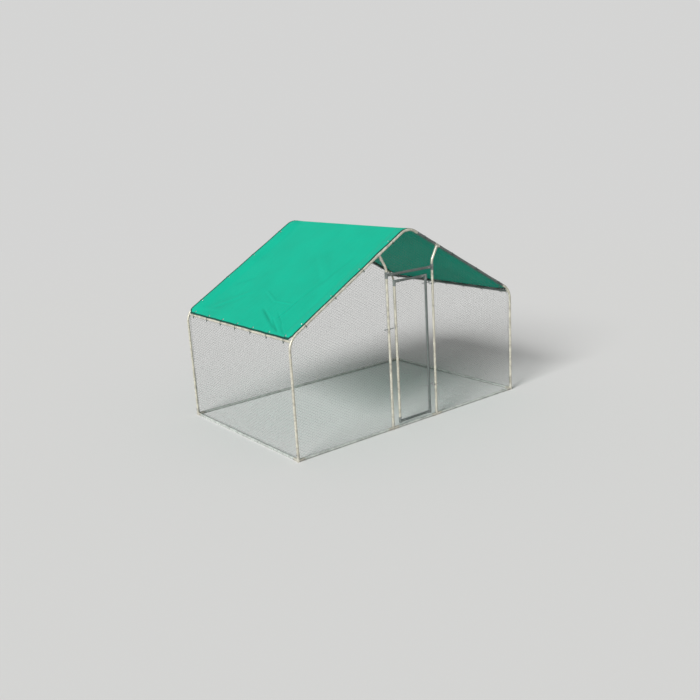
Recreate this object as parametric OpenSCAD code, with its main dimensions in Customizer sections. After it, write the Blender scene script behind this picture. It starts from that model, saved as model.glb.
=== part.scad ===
// Walk-in chicken run: a gabled frame of galvanised tube, wire netting, a tied roof cover and a door.
// X runs along the gables, Y along the eaves with the door gable at -Y, and Z up from the ground.

/* [Run] */
// Width between corner posts, centre to centre
post_span_x = 2970; // [2700:10:3600]
// Length between corner posts, centre to centre
post_span_y = 1970; // [1500:10:4000]
// Height at which post and rafter centre lines would meet
eave_h = 1165; // [1000:5:1500]
// Slope of the rafters, in degrees
roof_pitch = 30; // [26:1:36]

/* [Tube] */
// Outer diameter of every frame tube
tube_d = 25; // [22:0.5:32]
// Wall of the frame tube
tube_wall = 1; // [0.8:0.1:2]
// Centre-line radius of the eave and ridge bends
bend_r = 180; // [120:5:240]
// Straight length of an elbow past its bend
elbow_straight = 35; // [20:1:80]
// Length of a spigot inside the next tube
spigot_len = 60; // [40:1:90]
// Wall of a spigot
spigot_wall = 1; // [0.8:0.1:2]
// Length of the side stub that an eave or ridge rail butts against
stub_len = 24; // [18:1:40]

/* [Fittings] */
// Wall of the main sleeve of a corner or tee
hub_wall = 2; // [1.5:0.1:4]
// Wall of a side arm of a corner or tee
arm_wall = 1.5; // [1:0.1:3]
// Length of a side arm, from the axis of the main sleeve
arm_len = 70; // [50:1:120]
// Height of the sleeve under a corner post or door post
base_hub_len = 85; // [60:1:140]
// Thickness of the foot that closes a sleeve
foot_t = 2; // [1.5:0.1:6]
// Length of the open sleeve of a tee
tee_len = 64; // [56:1:100]
// Distance of a screw from the mouth of its joint
screw_inset = 15; // [10:1:25]

/* [Door] */
// Width between door posts, centre to centre
door_span = 610; // [560:5:800]
// Slanted top of a door post, from its corner to the rafter axis
post_reach = 165; // [140:1:200]
// Centre-line radius of the bend in a door post
post_bend_r = 120; // [80:5:160]
// Gap between the lintel tee and the bend above it
lintel_clear = 4; // [1:0.5:20]
// Distance from door post to leaf stile, centre to centre
stile_gap = 95; // [90:1:130]
// Distance from lintel to top rail of the leaf, centre to centre
leaf_top_gap = 75; // [50:1:120]
// Distance from threshold to bottom rail of the leaf, centre to centre
leaf_bottom_gap = 50; // [40:1:100]
// Height of the sleeve of a leaf corner
leaf_hub_len = 60; // [45:1:100]

/* [Hinges] */
// Lower hinge above the bottom rail of the leaf
low_hinge_rise = 275; // [150:5:500]
// Upper hinge below the top rail of the leaf
high_hinge_drop = 95; // [90:5:400]
// Diameter of pintle and eye-bolt rod
rod_d = 8; // [6:0.5:10]
// Centre-line radius of the pintle's bend
pintle_bend_r = 10; // [8:0.5:16]
// Diameter of the collar that carries the eye
pintle_collar_d = 17; // [15:0.5:24]
// Thickness of that collar
pintle_collar_t = 3; // [2:0.5:6]
// Outer diameter of the eye
eye_d = 20; // [17:0.5:26]
// Height of the eye
eye_h = 12; // [8:0.5:20]
// Length of pin above the eye
pin_over = 7; // [3:0.5:15]
// Length of rod past a tube, nut included
rod_over = 38; // [12:1:50]
// Width of a nut across flats
nut_af = 13; // [10:0.5:14]
// Height of a nut
nut_h = 6.5; // [5:0.5:9]

/* [Latch] */
// Height of the slide bolt
latch_h = 1050; // [700:5:1250]
// Diameter of the slide bolt
bolt_d = 10; // [8:0.5:12]
// Travel of the slide bolt
bolt_travel = 30; // [25:1:32]
// Distance of the drawn bolt's tip from the stile
bolt_tip_gap = 15; // [8:1:18]
// Diameter of the knob
knob_d = 14; // [12:0.5:15]
// Length of the knob
knob_len = 14; // [10:1:25]
// Diameter of the stop collar
collar_d = 18; // [15:0.5:24]
// Width of the stop collar
collar_w = 6; // [4:0.5:10]

/* [Roof cover] */
// Thickness of the sheet
cover_t = 1.2; // [0.8:0.1:3]
// Gap between the sheet's edge and the tube beside it
cover_gap = 12; // [6:1:25]
// Size of the cut across each corner of the sheet
corner_cut = 30; // [10:1:60]
// Distance of an eave eyelet from the sheet's lower edge
eave_hem = 14; // [11:0.5:25]
// Distance of a gable eyelet from the sheet's side edge
gable_hem = 17; // [11:0.5:30]
// Spacing of the ties along an eave
tie_pitch = 290; // [150:10:500]
// Distance of the first eave tie from the sheet's side edge
tie_end = 90; // [70:1:150]
// Diameter of the tie cord
cord_d = 3; // [2:0.5:4]
// Diameter of an eyelet's flange
eyelet_d = 18; // [15:0.5:22]
// Bore of an eyelet
eyelet_bore_d = 9; // [7:0.5:12]
// Wall of an eyelet's neck
eyelet_wall = 1; // [0.5:0.1:2]
// Thickness of an eyelet's flange
eyelet_lip = 0.8; // [0.5:0.1:1.5]

/* [Netting] */
// Width of a mesh opening, wire centre to wire centre
net_cell = 180; // [170:5:300]
// Width of a wire in the plane of the net
net_wire = 4; // [3:0.5:8]
// Thickness of the net
net_t = 2; // [1:0.5:3]
// Width of the selvedge round a net
net_edge = 5; // [4:0.5:12]
// Distance of gable and leaf nets behind the tubes' centre plane
net_offset = 9; // [8.5:0.5:10]

/* [Screws] */
// Diameter of the shank
screw_d = 4.8; // [3.5:0.1:6]
// Length of the shank under the head
screw_grip = 8; // [6:0.5:9]
// Diameter of the flange
screw_flange_d = 10.5; // [9:0.5:14]
// Thickness of the flange
screw_flange_t = 1; // [0.6:0.1:2]
// Width of the hexagon across flats
screw_af = 8; // [6:0.5:9]
// Height of the hexagon
screw_hex_h = 4; // [3:0.5:6]

/* [Hidden] */
$fn = 48;
// Clearances: spigot in tube, tube in sleeve, screw or rod in its hole, hinge pin in its eye
spigot_fit = 0.2;
sleeve_fit = 0.3;
hole_fit = 0.05;
pin_fit = 0.05;
// Clearances: slide bolt in the post and in the stile's slot, sheet and cord to tube, net to its neighbours
slide_fit = 0.3;
slot_fit = 1.3;
soft_gap = 0.3;
net_gap = 0.3;
// Height of the ground arms above the underside of the feet
rail_lift = 0.5;
// Step between a side stub and the tube it is welded to
stub_step = 0.5;
// Rounded tip of the slide bolt and rounded rim of its knob
tip_chamfer = 2;
knob_round = 2;
// Radius at which a cord turns through an eyelet
cord_turn_r = 5;
// How much thinner a bend is than its legs, and how far a leg laps over it
bend_step = 0.05;
bend_lap = 0.5;
// Overrun of every cut
overrun = 5;
// Places of the gable ties along a slope of the cover
gable_tie_shares = [0.12, 0.36, 0.6, 0.86];
arc_steps = 6;

left = -1;
right = 1;
front = -1;
back = 1;
lower = -1;
upper = 1;

tube_colour = "#cfcdb9";
fitting_colour = "#dcdacb";
bolt_colour = "#a9aca8";
cover_colour = "#28c1a0";
cord_colour = "#35504a";
net_colour = "#9aa09a";

tube_r = tube_d / 2;
bore_r = tube_r + sleeve_fit;
hub_r = bore_r + hub_wall;
arm_r = bore_r + arm_wall;
arm_stop = hub_r + arm_wall;
spigot_r = tube_r - tube_wall - spigot_fit;
spigot_bore_r = spigot_r - spigot_wall;
rail_h = arm_r + rail_lift;

half_x = post_span_x / 2;
half_y = post_span_y / 2;
door_half = door_span / 2;
stile_half = door_half - stile_gap;

// Bends: the angle turned, the tangent length and the set-back of the mid-bend from the corner
eave_bend = 90 - roof_pitch;
ridge_bend = 2 * roof_pitch;
eave_tangent = bend_r * tan(eave_bend / 2);
ridge_tangent = bend_r * tan(ridge_bend / 2);
eave_setback = bend_r / cos(eave_bend / 2) - bend_r;
ridge_setback = bend_r / cos(ridge_bend / 2) - bend_r;
apex_h = eave_h + half_x * tan(roof_pitch);
eave_centre = [-half_x + bend_r, eave_h - eave_tangent];
ridge_centre = [0, apex_h - ridge_setback - bend_r];
post_top = eave_h - eave_tangent - elbow_straight;
rafter_start = eave_tangent + elbow_straight;
rafter_end = half_x / cos(roof_pitch) - ridge_tangent - elbow_straight;

// Rails spring from the middle of each bend
eave_rail_x = half_x - eave_setback * cos(eave_bend / 2);
eave_rail_z = eave_h - eave_setback * sin(eave_bend / 2);
ridge_rail_z = apex_h - ridge_setback;

// Door posts lean outward at the top until they stand square to the rafter
post_corner_h = eave_h + (half_x - door_half) * tan(roof_pitch) - post_reach / cos(roof_pitch);
post_tangent = post_bend_r * tan(roof_pitch / 2);
post_straight_h = post_corner_h - post_tangent;
post_centre = [-door_half - post_bend_r, post_straight_h];
tee_s = (half_x - door_half - post_reach * sin(roof_pitch)) / cos(roof_pitch);
lintel_h = post_straight_h - lintel_clear - tee_len / 2;

leaf_bottom = rail_h + leaf_bottom_gap;
leaf_top = lintel_h - leaf_top_gap;
leaf_foot = leaf_bottom - rail_h;
leaf_mid = (leaf_bottom + leaf_top) / 2;
low_hinge_h = leaf_bottom + low_hinge_rise;
high_hinge_h = leaf_top - high_hinge_drop;
hinge_x = (door_half + stile_half) / 2;
eye_rise = pintle_bend_r + pintle_collar_t + eye_h / 2;
slot_w = bolt_d + 2 * slot_fit;

// The cover lies over the eave and ridge rails, on the line that touches both
cover_rise = ridge_rail_z - eave_rail_z;
cover_pitch = atan2(cover_rise, eave_rail_x);
cover_len = norm([eave_rail_x, cover_rise]);
cover_low = tube_r + soft_gap;
cover_mid = cover_low + cover_t / 2;
cover_edge = tube_r + cover_gap;
cover_half_w = half_y - tube_r - cover_gap;
eave_eyelet = cover_edge + eave_hem;
gable_eyelet = tube_r + cover_gap + gable_hem;
eyelet_neck_r = eyelet_bore_d / 2 + eyelet_wall;
tie_r = cover_low + cord_d / 2;
tie_count = max(2, round(2 * (cover_half_w - tie_end) / tie_pitch) + 1);
tie_step = 2 * (cover_half_w - tie_end) / (tie_count - 1);

// Height of the rafter's axis above that line, at a distance x up the slope
function rafter_rise(x) =
    let (corner = [eave_rail_x - half_x, eave_h - eave_rail_z],
        along = corner.x * cos(cover_pitch) + corner.y * sin(cover_pitch),
        above = corner.y * cos(cover_pitch) - corner.x * sin(cover_pitch))
    above + (x - along) * tan(roof_pitch - cover_pitch);
gable_tie_x = [for (share = gable_tie_shares) share * cover_len];
tie_drop = max([for (x = gable_tie_x) rafter_rise(x)]) - cover_mid;

// Nets stop short of sleeves, and of the ties round rails and rafters
net_reach = max(hub_r, cover_low + cord_d) + net_gap;
net_inset = sqrt(pow(hub_r + net_gap, 2) - pow(net_offset - net_t / 2, 2));
tie_clear = max(tie_r, tie_drop + cord_turn_r) + cord_d / 2 + net_gap - net_inset;
side_net_h = norm([half_x - eave_rail_x, eave_rail_z - rail_h]);
side_net_tilt = atan2(half_x - eave_rail_x, eave_rail_z - rail_h);
row_step = net_cell * sin(60);

// Every piece is drawn at the front left, and turned over for the other sides
module flip(side_x, side_y = front)
    mirror([side_x == right ? 1 : 0, 0, 0])
    mirror([0, side_y == back ? 1 : 0, 0])
    children();

module leaf_flip(side_x, side_z)
    translate([0, 0, leaf_mid])
    mirror([0, 0, side_z == upper ? 1 : 0])
    translate([0, 0, -leaf_mid])
    flip(side_x) children();

// A point at distance s up the left rafter and n above its axis, in the gable plane
function slope_point(s, n) =
    [
        -half_x + s * cos(roof_pitch) - n * sin(roof_pitch),
        eave_h + s * sin(roof_pitch) + n * cos(roof_pitch)
    ];
function in_gable(p) = [p.x, -half_y, p.y];
function mirrored(p) = [-p.x, p.y];
function arc(centre, r, from, to) =
    [for (i = [0:arc_steps]) let (a = from + (to - from) * i / arc_steps) centre + r * [cos(a), sin(a)]];

// Puts the gable plane's X and Z under a shape drawn in X and Y
module in_front(p)
    translate(in_gable(p))
    rotate([90, 0, 0])
    children();

module on_rafter(s)
    translate(in_gable(slope_point(s, 0)))
    rotate([0, -roof_pitch, 0])
    children();

module on_cover()
    translate([-eave_rail_x, 0, eave_rail_z])
    rotate([0, -cover_pitch, 0])
    children();

// Tube and rod shapes

module tube(len)
    difference() {
        cylinder(r = tube_r, h = len);
        translate([0, 0, -overrun]) cylinder(r = tube_r - tube_wall, h = len + 2 * overrun);
    }

module tube_x(from, to, y, z)
    translate([from, y, z]) rotate([0, 90, 0]) tube(to - from);

module tube_y(x, from, to, z)
    translate([x, from, z]) rotate([-90, 0, 0]) tube(to - from);

module at_first_end(r)
    translate([r, 0, 0]) rotate([90, 0, 0]) children();

module at_last_end(r, angle)
    rotate([0, 0, angle]) translate([r, 0, 0]) rotate([-90, 0, 0]) children();

// A rod that is a little thinner through its bend, with a straight leg lapped over each end of it
module bent_rod(rod_r, angle, r, first, last) {
    rotate_extrude(angle = angle) translate([r, 0]) circle(r = rod_r - bend_step);
    at_first_end(r) leg(rod_r, first);
    at_last_end(r, angle) leg(rod_r, last);
}

module leg(rod_r, len)
    translate([0, 0, -bend_lap]) cylinder(r = rod_r, h = len + bend_lap);

module hex_prism(af, h)
    cylinder(d = af / cos(30), h = h, $fn = 6);

// Screws: each is a point on a tube's axis, the way its head faces, and the radius that the head sits at

corner_post_screw = [[-half_x, -half_y, base_hub_len - screw_inset], [-1, 0, 0], hub_r];
corner_x_screw = [[-half_x + arm_len - screw_inset, -half_y, rail_h], [0, -1, 0], arm_r];
corner_y_screw = [[-half_x, -half_y + arm_len - screw_inset, rail_h], [-1, 0, 0], arm_r];
elbow_post_screw = [[-half_x, -half_y, post_top - screw_inset], [0, -1, 0], tube_r];
elbow_rafter_screw = [in_gable(slope_point(rafter_start + screw_inset, 0)), [0, -1, 0], tube_r];
elbow_rail_screw = [[-eave_rail_x, -half_y + stub_len + screw_inset, eave_rail_z], [1, 0, 0], tube_r];
ridge_rafter_screw = [in_gable(slope_point(rafter_end - screw_inset, 0)), [0, -1, 0], tube_r];
ridge_rail_screw = [[0, -half_y + stub_len + screw_inset, ridge_rail_z], [0, 0, -1], tube_r];
door_post_screw = [[-door_half, -half_y, base_hub_len - screw_inset], [0, -1, 0], hub_r];
door_rail_screw = [[-door_half - arm_len + screw_inset, -half_y, rail_h], [0, -1, 0], arm_r];
threshold_screw = [[-door_half + arm_len - screw_inset, -half_y, rail_h], [0, -1, 0], arm_r];
lintel_post_screw = [[-door_half, -half_y, lintel_h + tee_len / 2 - screw_inset], [0, -1, 0], hub_r];
lintel_screw = [[-door_half + arm_len - screw_inset, -half_y, lintel_h], [0, -1, 0], arm_r];
rafter_tee_screw = [in_gable(slope_point(tee_s + tee_len / 2 - screw_inset, 0)), [0, -1, 0], hub_r];
rafter_post_screw = [in_gable(slope_point(tee_s, screw_inset - arm_len)), [0, -1, 0], arm_r];
leaf_stile_screw = [[-stile_half, -half_y, leaf_foot + leaf_hub_len - screw_inset], [0, -1, 0], hub_r];
leaf_rail_screw = [[-stile_half + arm_len - screw_inset, -half_y, leaf_bottom], [0, -1, 0], arm_r];

module at_screw(s)
    translate(s[0])
    rotate([0, acos(s[1].z), atan2(s[1].y, s[1].x)])
    children();

module drilled(screws)
    difference() {
        children();
        for (s = screws) at_screw(s) cylinder(d = screw_d + 2 * hole_fit, h = s[2] + overrun);
    }

module screw(s)
    at_screw(s) {
        translate([0, 0, s[2] - screw_grip]) cylinder(d = screw_d, h = screw_grip + screw_flange_t);
        translate([0, 0, s[2]]) cylinder(d = screw_flange_d, h = screw_flange_t);
        translate([0, 0, s[2]]) hex_prism(screw_af, screw_flange_t + screw_hex_h);
    }

// Fittings

module at_arm(angle)
    translate([0, 0, rail_h]) rotate([0, 0, angle]) rotate([0, 90, 0]) children();

// A sleeve closed by a foot, with arms just above the ground
module footed_fitting(height, arm_angles)
    difference() {
        union() {
            cylinder(r = hub_r, h = height);
            for (a = arm_angles) at_arm(a) cylinder(r = arm_r, h = arm_len);
        }
        translate([0, 0, foot_t]) cylinder(r = bore_r, h = height);
        for (a = arm_angles) at_arm(a) translate([0, 0, arm_stop]) cylinder(r = bore_r, h = arm_len);
    }

// An open sleeve along Z with one arm along X
module tee()
    difference() {
        union() {
            translate([0, 0, -tee_len / 2]) cylinder(r = hub_r, h = tee_len);
            rotate([0, 90, 0]) cylinder(r = arm_r, h = arm_len);
        }
        translate([0, 0, -tee_len / 2 - overrun]) cylinder(r = bore_r, h = tee_len + 2 * overrun);
        rotate([0, 90, 0]) translate([0, 0, arm_stop]) cylinder(r = bore_r, h = arm_len);
    }

// A bent tube with a spigot at each end and a stub for a rail square to the bend
module elbow(angle)
    difference() {
        union() {
            bent_rod(tube_r, angle, bend_r, elbow_straight, elbow_straight);
            bent_rod(spigot_r, angle, bend_r, elbow_straight + spigot_len, elbow_straight + spigot_len);
            at_mid_bend(angle) cylinder(r = tube_r - stub_step, h = stub_len);
            at_mid_bend(angle) cylinder(r = spigot_r, h = stub_len + spigot_len);
        }
        bent_rod(spigot_bore_r, angle, bend_r, elbow_straight + spigot_len + overrun,
            elbow_straight + spigot_len + overrun);
        at_mid_bend(angle) cylinder(r = spigot_bore_r, h = stub_len + spigot_len + overrun);
    }

module at_mid_bend(angle)
    rotate([0, 0, angle / 2]) translate([bend_r, 0, 0]) rotate([180, 0, 0]) children();

// Frame

module base_corner(side_x, side_y)
    color(fitting_colour) flip(side_x, side_y)
    drilled([corner_post_screw, corner_x_screw, corner_y_screw])
    translate([-half_x, -half_y, 0]) footed_fitting(base_hub_len, [0, 90]);

module post(side_x, side_y)
    color(tube_colour) flip(side_x, side_y)
    drilled([corner_post_screw, elbow_post_screw])
    translate([-half_x, -half_y, foot_t]) tube(post_top - foot_t);

module eave_elbow(side_x, side_y)
    color(tube_colour) flip(side_x, side_y)
    drilled([elbow_post_screw, elbow_rafter_screw, elbow_rail_screw])
    in_front(eave_centre) rotate([0, 0, 90 + roof_pitch]) elbow(eave_bend);

module ridge_elbow(side_y)
    color(tube_colour) flip(left, side_y)
    difference() {
        drilled([ridge_rafter_screw, ridge_rail_screw])
            in_front(ridge_centre) rotate([0, 0, 90 - roof_pitch]) elbow(ridge_bend);
        flip(right) at_screw(ridge_rafter_screw)
            cylinder(d = screw_d + 2 * hole_fit, h = tube_r + overrun);
    }

module rafter(side_x, side_y)
    color(tube_colour) flip(side_x, side_y)
    drilled(side_y == front ? [elbow_rafter_screw, ridge_rafter_screw, rafter_tee_screw]
        : [elbow_rafter_screw, ridge_rafter_screw])
    on_rafter(rafter_start) rotate([0, 90, 0]) tube(rafter_end - rafter_start);

// Drills both ends of a piece that runs from front to back
module drilled_both_ways(s)
    drilled([s, [[s[0].x, -s[0].y, s[0].z], s[1], s[2]]]) children();

module eave_rail(side_x)
    color(tube_colour) flip(side_x)
    drilled_both_ways(elbow_rail_screw)
    tube_y(-eave_rail_x, -half_y + stub_len, half_y - stub_len, eave_rail_z);

module ridge_rail()
    color(tube_colour)
    drilled_both_ways(ridge_rail_screw)
    tube_y(0, -half_y + stub_len, half_y - stub_len, ridge_rail_z);

module ground_rail_side(side_x)
    color(tube_colour) flip(side_x)
    drilled_both_ways(corner_y_screw)
    tube_y(-half_x, -half_y + arm_stop, half_y - arm_stop, rail_h);

// Drills both ends of a piece that runs from left to right
module drilled_both_ends(s)
    drilled([s, [[-s[0].x, s[0].y, s[0].z], s[1], s[2]]]) children();

module ground_rail_back()
    color(tube_colour) flip(left, back)
    drilled_both_ends(corner_x_screw)
    tube_x(-half_x + arm_stop, half_x - arm_stop, -half_y, rail_h);

module ground_rail_front(side_x)
    color(tube_colour) flip(side_x)
    drilled([corner_x_screw, door_rail_screw])
    tube_x(-half_x + arm_stop, -door_half - arm_stop, -half_y, rail_h);

module threshold_rail()
    color(tube_colour)
    drilled_both_ends(threshold_screw)
    tube_x(-door_half + arm_stop, door_half - arm_stop, -half_y, rail_h);

module door_base_tees()
    color(fitting_colour) for (side = [left, right]) flip(side)
    drilled([door_post_screw, door_rail_screw, threshold_screw])
    translate([-door_half, -half_y, 0]) footed_fitting(base_hub_len, [0, 180]);

module bent_post(r, bottom, over)
    in_front(post_centre)
    bent_rod(r, roof_pitch, post_bend_r, post_straight_h - bottom,
        post_reach - post_tangent - arm_stop + over);

// Holes across a tube for a rod along X
module rod_hole(x, z, d)
    translate([x - tube_d, -half_y, z]) rotate([0, 90, 0]) cylinder(d = d, h = 2 * tube_d);

module door_post(side_x)
    color(tube_colour) difference() {
        flip(side_x) drilled([door_post_screw, lintel_post_screw, rafter_post_screw])
            difference() {
                bent_post(tube_r, foot_t, 0);
                bent_post(tube_r - tube_wall, foot_t - overrun, overrun);
            }
        if (side_x == right)
            for (z = [low_hinge_h, high_hinge_h]) rod_hole(door_half, z, rod_d + 2 * hole_fit);
        if (side_x == left)
            rod_hole(-door_half, latch_h, bolt_d + 2 * slide_fit);
    }

module lintel_tees()
    color(fitting_colour) for (side = [left, right]) flip(side)
    drilled([lintel_post_screw, lintel_screw])
    translate([-door_half, -half_y, lintel_h]) tee();

module lintel()
    color(tube_colour)
    drilled_both_ends(lintel_screw)
    tube_x(-door_half + arm_stop, door_half - arm_stop, -half_y, lintel_h);

module rafter_tees()
    color(fitting_colour) for (side = [left, right]) flip(side)
    drilled([rafter_tee_screw, rafter_post_screw])
    on_rafter(tee_s) rotate([0, 90, 0]) tee();

module frame_screws()
    color(bolt_colour) {
        for (side_x = [left, right], side_y = [front, back]) flip(side_x, side_y)
            for (s = [corner_post_screw, corner_x_screw, corner_y_screw, elbow_post_screw,
                    elbow_rafter_screw, elbow_rail_screw, ridge_rafter_screw])
                screw(s);
        for (side_y = [front, back]) flip(left, side_y) screw(ridge_rail_screw);
        for (side_x = [left, right]) flip(side_x)
            for (s = [door_post_screw, door_rail_screw, threshold_screw, lintel_post_screw, lintel_screw,
                    rafter_tee_screw, rafter_post_screw])
                screw(s);
    }

// Hinges: a pintle in the right door post, and an eye bolt in the leaf that turns on it

module hinge_pintle(z)
    color(bolt_colour) {
        in_front([hinge_x + pintle_bend_r, z + pintle_bend_r]) rotate([0, 0, 180])
            bent_rod(rod_d / 2, 90, pintle_bend_r, pintle_collar_t + eye_h + pin_over,
                door_half + tube_r + rod_over - hinge_x - pintle_bend_r);
        translate([hinge_x, -half_y, z + pintle_bend_r])
            cylinder(d = pintle_collar_d, h = pintle_collar_t);
    }

module hinge_eye(z)
    color(bolt_colour) translate([hinge_x, -half_y, z + eye_rise])
    difference() {
        union() {
            translate([0, 0, -eye_h / 2]) cylinder(d = eye_d, h = eye_h);
            rotate([0, -90, 0]) cylinder(d = rod_d, h = hinge_x - stile_half + tube_r + rod_over);
        }
        translate([0, 0, -eye_h / 2 - overrun])
            cylinder(d = rod_d + 2 * pin_fit, h = eye_h + 2 * overrun);
    }

// The two nuts that clamp a rod to a tube at x
module nut_pair(x, z)
    for (start = [x - tube_r - nut_h, x + tube_r])
        translate([start, -half_y, z]) rotate([0, 90, 0])
        difference() {
            hex_prism(nut_af, nut_h);
            translate([0, 0, -overrun]) cylinder(d = rod_d + 2 * hole_fit, h = nut_h + 2 * overrun);
        }

module pintle_nuts()
    color(bolt_colour) for (z = [low_hinge_h, high_hinge_h]) nut_pair(door_half, z);

module eye_nuts()
    color(bolt_colour) for (z = [low_hinge_h, high_hinge_h]) nut_pair(stile_half, z + eye_rise);

// Roof cover: two slopes and the fold over the ridge rail, with an eyelet at each tie

function eave_tie_y(i) = -cover_half_w + tie_end + i * tie_step;

module at_eyelets()
    for (side = [left, right]) flip(side) on_cover() {
        for (i = [0:tie_count - 1]) translate([eave_eyelet, eave_tie_y(i), cover_mid]) children();
        for (x = gable_tie_x, side_y = [front, back])
            translate([x, side_y * (half_y - gable_eyelet), cover_mid]) children();
    }

module cover_slope()
    translate([0, 0, cover_low]) linear_extrude(cover_t) polygon([
        [cover_edge, corner_cut - cover_half_w],
        [cover_edge + corner_cut, -cover_half_w],
        [cover_len + bend_lap, -cover_half_w],
        [cover_len + bend_lap, cover_half_w],
        [cover_edge + corner_cut, cover_half_w],
        [cover_edge, cover_half_w - corner_cut]
    ]);

// A little thinner than the slopes, which lap over it
module ridge_fold()
    translate([0, 0, ridge_rail_z]) rotate([90, 0, 0]) rotate([0, 0, 90 - cover_pitch])
    rotate_extrude(angle = 2 * cover_pitch) translate([cover_low + bend_step, bend_step - cover_half_w])
    square([cover_t - 2 * bend_step, 2 * (cover_half_w - bend_step)]);

module roof_cover()
    color(cover_colour) difference() {
        union() {
            for (side = [left, right]) flip(side) on_cover() cover_slope();
            ridge_fold();
        }
        at_eyelets() translate([0, 0, -overrun]) cylinder(r = eyelet_neck_r + hole_fit, h = 2 * overrun);
    }

module eyelet()
    difference() {
        union() {
            translate([0, 0, -cover_t / 2 - eyelet_lip])
                cylinder(r = eyelet_neck_r, h = cover_t + 2 * eyelet_lip);
            translate([0, 0, cover_t / 2]) cylinder(d = eyelet_d, h = eyelet_lip);
            translate([0, 0, -cover_t / 2 - eyelet_lip]) cylinder(d = eyelet_d, h = eyelet_lip);
        }
        translate([0, 0, -overrun]) cylinder(d = eyelet_bore_d, h = 2 * overrun);
    }

module cover_eyelets()
    color(bolt_colour) at_eyelets() eyelet();

// A closed loop of cord round a tube at the origin and through an eyelet whose turn is at [x, y]
module cord_loop(x, y) {
    reach = norm([x, y]);
    lean = acos((tie_r - cord_turn_r) / reach);
    strand = sqrt(pow(reach, 2) - pow(tie_r - cord_turn_r, 2));
    rotate([0, 0, atan2(y, x)]) {
        rotate([0, 0, lean]) rotate_extrude(angle = 360 - 2 * lean)
            translate([tie_r, 0]) circle(r = cord_d / 2 - bend_step);
        translate([reach, 0, 0]) rotate([0, 0, -lean]) rotate_extrude(angle = 2 * lean)
            translate([cord_turn_r, 0]) circle(r = cord_d / 2 - bend_step);
        rotate([0, 0, lean]) at_first_end(tie_r) leg(cord_d / 2, strand + bend_lap);
        at_last_end(tie_r, -lean) leg(cord_d / 2, strand + bend_lap);
    }
}

module cover_ties()
    color(cord_colour) for (side = [left, right]) flip(side) on_cover() {
        for (i = [0:tie_count - 1])
            translate([0, eave_tie_y(i), 0]) rotate([90, 0, 0])
            cord_loop(eave_eyelet - cord_turn_r, cover_mid);
        for (x = gable_tie_x, side_y = [front, back])
            mirror([0, side_y == back ? 1 : 0, 0])
            translate([x, -half_y, rafter_rise(x)]) rotate([90, 0, 90])
            cord_loop(gable_eyelet - cord_turn_r, cover_mid - rafter_rise(x));
    }

// Wire netting, drawn as a flat mesh of hexagons inside a selvedge

module mesh_openings(low, high)
    for (row = [0:ceil((high.y - low.y) / row_step)], col = [0:ceil((high.x - low.x) / net_cell)])
        translate([low.x + (col + (row % 2) / 2) * net_cell, low.y + row * row_step])
        rotate([0, 0, 30]) circle(d = (net_cell - net_wire) / cos(30), $fn = 6);

module net(outline, openings, low, high)
    color(net_colour) linear_extrude(net_t) difference() {
        polygon(outline);
        intersection() {
            polygon(openings);
            mesh_openings(low, high);
        }
    }

function eave_arc(inset) = arc(eave_centre, bend_r - inset - tie_clear, 90 + roof_pitch, 180);
function ridge_arc(inset) =
    arc(ridge_centre, bend_r - inset - tie_clear, 90 - roof_pitch, 90 + roof_pitch);
function mirrored_back(points) = [for (i = [len(points) - 1:-1:0]) mirrored(points[i])];

function gable_outline(inset) = concat(
    [[-half_x + inset, rail_h + inset], [half_x - inset, rail_h + inset]],
    mirrored_back(eave_arc(inset)), ridge_arc(inset), eave_arc(inset));

function beside_door_outline(inset) = concat(
    [[-half_x + inset, rail_h + inset], [-door_half - inset, rail_h + inset]],
    arc(post_centre, post_bend_r - inset, 0, roof_pitch),
    [slope_point(tee_s - inset, -inset - tie_clear)], eave_arc(inset));

function over_door_side(inset) =
    concat([slope_point(tee_s + inset, -inset - tie_clear)],
        arc(post_centre, post_bend_r + inset, roof_pitch, 0));
function over_door_outline(inset) = concat(
    [[-door_half + inset, lintel_h + inset], [door_half - inset, lintel_h + inset]],
    mirrored_back(over_door_side(inset)), ridge_arc(inset), over_door_side(inset));

function side_outline(inset) =
    let (y = half_y - inset, top = side_net_h - inset) [[-y, inset], [y, inset], [y, top], [-y, top]];

function leaf_outline(inset) =
    let (x = stile_half - inset, low = leaf_bottom + inset, high = leaf_top - inset)
    [[-x, low], [x, low], [x, high], [-x, high]];

module behind_gable()
    translate([0, -half_y + net_offset + net_t / 2, 0]) rotate([90, 0, 0]) children();

module net_side(side_x)
    flip(side_x) translate([-half_x, 0, rail_h]) rotate([0, side_net_tilt, 0]) rotate([90, 0, 90])
    translate([0, 0, -net_t / 2])
    net(side_outline(net_reach), side_outline(net_reach + net_edge), [-half_y, 0], [half_y, side_net_h]);

module net_back()
    flip(left, back) behind_gable()
    net(gable_outline(net_inset), gable_outline(net_inset + net_edge),
        [-half_x, rail_h], [half_x, apex_h]);

module net_front(side_x)
    flip(side_x) behind_gable()
    net(beside_door_outline(net_inset), beside_door_outline(net_inset + net_edge),
        [-half_x, rail_h], [-door_half, apex_h]);

module net_over_door()
    behind_gable()
    net(over_door_outline(net_inset), over_door_outline(net_inset + net_edge),
        [-door_half - post_reach, lintel_h], [door_half + post_reach, apex_h]);

module net_door()
    behind_gable()
    net(leaf_outline(net_inset), leaf_outline(net_inset + net_edge),
        [-stile_half, leaf_bottom], [stile_half, leaf_top]);

// Door leaf

module stile_tube(side_x)
    flip(side_x) drilled([leaf_stile_screw,
        [[-stile_half, -half_y, 2 * leaf_mid - leaf_stile_screw[0].z], [0, -1, 0], hub_r]])
    translate([-stile_half, -half_y, leaf_foot + foot_t])
    tube(2 * (leaf_mid - leaf_foot - foot_t));

module hinge_stile()
    color(tube_colour) difference() {
        stile_tube(right);
        for (z = [low_hinge_h, high_hinge_h]) rod_hole(stile_half, z + eye_rise, rod_d + 2 * hole_fit);
    }

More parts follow.
